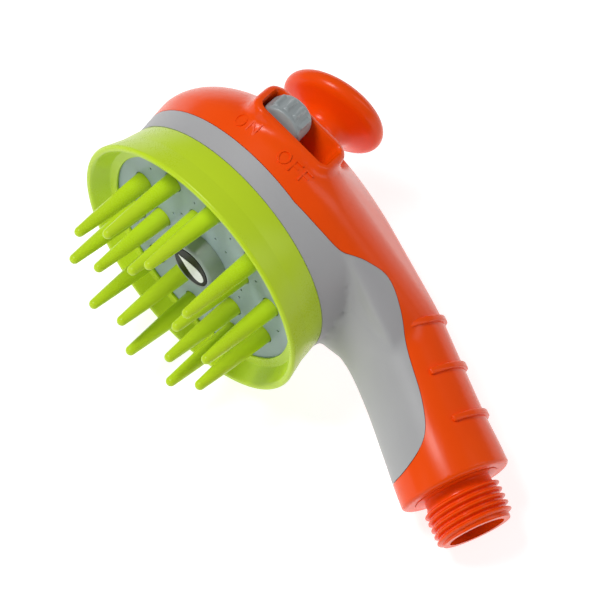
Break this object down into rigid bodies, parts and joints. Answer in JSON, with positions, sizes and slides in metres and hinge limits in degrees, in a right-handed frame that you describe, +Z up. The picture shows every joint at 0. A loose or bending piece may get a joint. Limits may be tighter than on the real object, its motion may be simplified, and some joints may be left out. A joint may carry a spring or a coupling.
{
  "type": "handheld bath sprayer",
  "caption": "Hand shower for washing pets: round bristled spray head with a splash skirt, slide switch, mushroom knob and angled handle with a male hose thread.",
  "frame": {"origin": "middle of the bounding box's base, on the surface that the sprayer lies on", "axes": "+Z up, the switch side up; -Y is the way the water leaves the spray face; +X runs from the head to the handle"},
  "size_m": [0.1354, 0.0842, 0.0766],
  "materials": {
    "rear_shell": "glossy moulded plastic",
    "front_shell": "satin moulded plastic",
    "skirt_ring": "soft satin plastic",
    "bristle_comb": "satin silicone",
    "spray_plate": "satin plastic",
    "centre_boss": "satin plastic",
    "emblem_disc": "gloss print with a white drop",
    "boss_screw": "zinc",
    "chamber_bowl": "natural",
    "chamber_gasket": "black rubber",
    "valve_body": "natural",
    "valve_end_cap": "natural",
    "valve_screws": "zinc",
    "valve_spool": "natural",
    "spool_o_rings": "black rubber",
    "slider_carriage": "glossy moulded plastic",
    "slider_button": "satin ridged plastic",
    "detent_spring": "spring steel",
    "waterway_tube": "natural",
    "tube_o_ring": "black rubber",
    "inlet_connector": "glossy moulded plastic",
    "inlet_o_ring": "black rubber",
    "inlet_strainer": "fine screen",
    "rear_knob": "glossy moulded plastic",
    "knob_screw": "zinc",
    "shell_screws": "zinc"
  },
  "bodies": {
    "sprayer": {"rear_shell": "rear_shell", "front_shell": "front_shell", "skirt_ring": "skirt_ring", "bristle_comb": "bristle_comb", "spray_plate": "spray_plate", "centre_boss": "centre_boss", "emblem_disc": "emblem_disc", "boss_screw": "boss_screw", "chamber_bowl": "chamber_bowl", "chamber_gasket": "chamber_gasket", "valve_body": "valve_body", "valve_end_cap": "valve_end_cap", "valve_screws": "valve_screws", "detent_spring": "detent_spring", "waterway_tube": "waterway_tube", "tube_o_ring": "tube_o_ring", "inlet_connector": "inlet_connector", "inlet_o_ring": "inlet_o_ring", "inlet_strainer": "inlet_strainer", "rear_knob": "rear_knob", "knob_screw": "knob_screw", "shell_screws": "shell_screws"},
    "slider": {"slider_button": "slider_button", "slider_carriage": "slider_carriage", "valve_spool": "valve_spool", "spool_o_rings": "spool_o_rings"}
  },
  "joints": [
    {"name": "switch_slide", "type": "slide", "parent": "sprayer", "child": "slider", "axis": [0.9456, 0.0772, -0.3162], "range_m": [0, 0.0085]}
  ]
}
